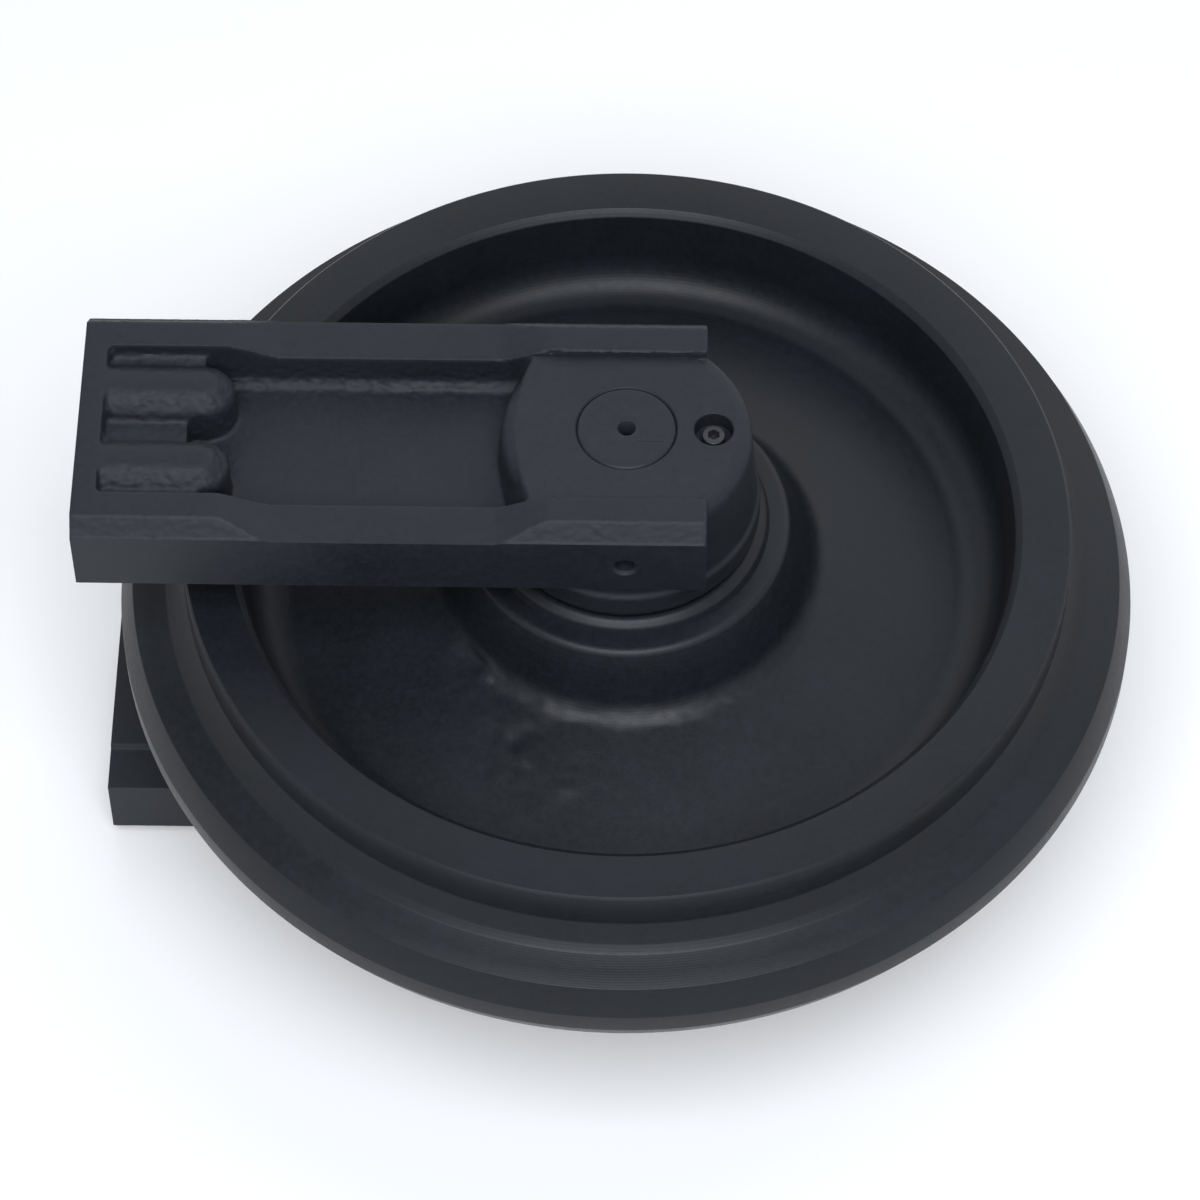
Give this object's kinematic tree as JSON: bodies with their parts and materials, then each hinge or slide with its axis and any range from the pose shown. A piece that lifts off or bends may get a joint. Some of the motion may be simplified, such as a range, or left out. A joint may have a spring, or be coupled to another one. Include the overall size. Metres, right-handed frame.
{
  "type": "excavator front idler",
  "caption": "Flanged idler wheel on bushes and floating face seals, turning on a fixed shaft that is pinned at each end into a cast guide bracket with a yoke face.",
  "frame": {"origin": "centre of the lower shaft end face, on the wheel axis", "axes": "+Z along the wheel axis from the lower bracket to the upper one, +X away from the yoke end of the brackets"},
  "size_m": [0.572, 0.56, 0.304],
  "materials": {
    "wheel_paint": "dark grey paint, satin, over forged and turned steel",
    "bracket_paint": "dark grey paint, satin, over rough cast steel",
    "shaft_paint": "dark grey paint over a turned end face, ground steel inside",
    "bronze": "machined",
    "seal_iron": "lapped faces",
    "rubber": "matt",
    "pin_steel": "dark, ground",
    "washer_copper": "soft copper, flat",
    "plug_steel": "blackened"
  },
  "bodies": {
    "frame": {"shaft": "shaft_paint", "upper_bracket": "bracket_paint", "lower_bracket": "bracket_paint", "upper_fixed_seal_ring": "seal_iron", "lower_fixed_seal_ring": "seal_iron", "upper_fixed_toric": "rubber", "lower_fixed_toric": "rubber", "upper_shaft_o_ring": "rubber", "lower_shaft_o_ring": "rubber", "upper_cross_pin": "pin_steel", "lower_cross_pin": "pin_steel", "upper_plug_washer": "washer_copper", "lower_plug_washer": "washer_copper", "upper_oil_plug": "plug_steel", "lower_oil_plug": "plug_steel"},
    "wheel": {"idler_wheel": "wheel_paint", "upper_bush": "bronze", "lower_bush": "bronze", "upper_turning_seal_ring": "seal_iron", "lower_turning_seal_ring": "seal_iron", "upper_turning_toric": "rubber", "lower_turning_toric": "rubber"}
  },
  "joints": [
    {"name": "wheel_spin", "type": "hinge", "parent": "frame", "child": "wheel", "pos_m": [0, 0, 0.1475], "axis": [0, 0, 1], "continuous": true}
  ]
}
